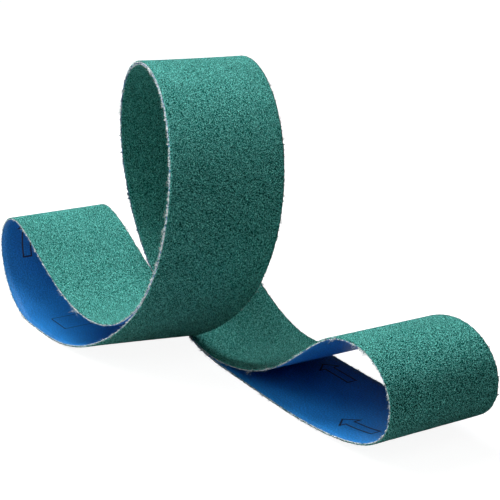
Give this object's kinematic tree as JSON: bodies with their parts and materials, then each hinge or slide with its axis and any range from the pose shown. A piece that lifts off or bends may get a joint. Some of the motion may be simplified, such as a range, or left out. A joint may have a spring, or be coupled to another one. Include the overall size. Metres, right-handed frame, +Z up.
{
  "type": "sanding belt",
  "caption": "Wide endless sanding belt with coarse green grain on a blue cloth backing, folded flat and standing with an upright loop between two round ends.",
  "frame": {"origin": "on the floor, below the middle of the belt's box", "axes": "+X across the belt, +Y towards the round end behind the upright loop, +Z up"},
  "size_m": [0.154, 0.39, 0.204],
  "materials": {
    "abrasive_grain": "coarse closed coat of green grain in resin",
    "backing_cloth": "blue impregnated twill cloth, slightly glossy"
  },
  "bodies": {
    "root": {"abrasive_coat": "abrasive_grain", "cloth_backing": "backing_cloth"}
  },
  "joints": []
}
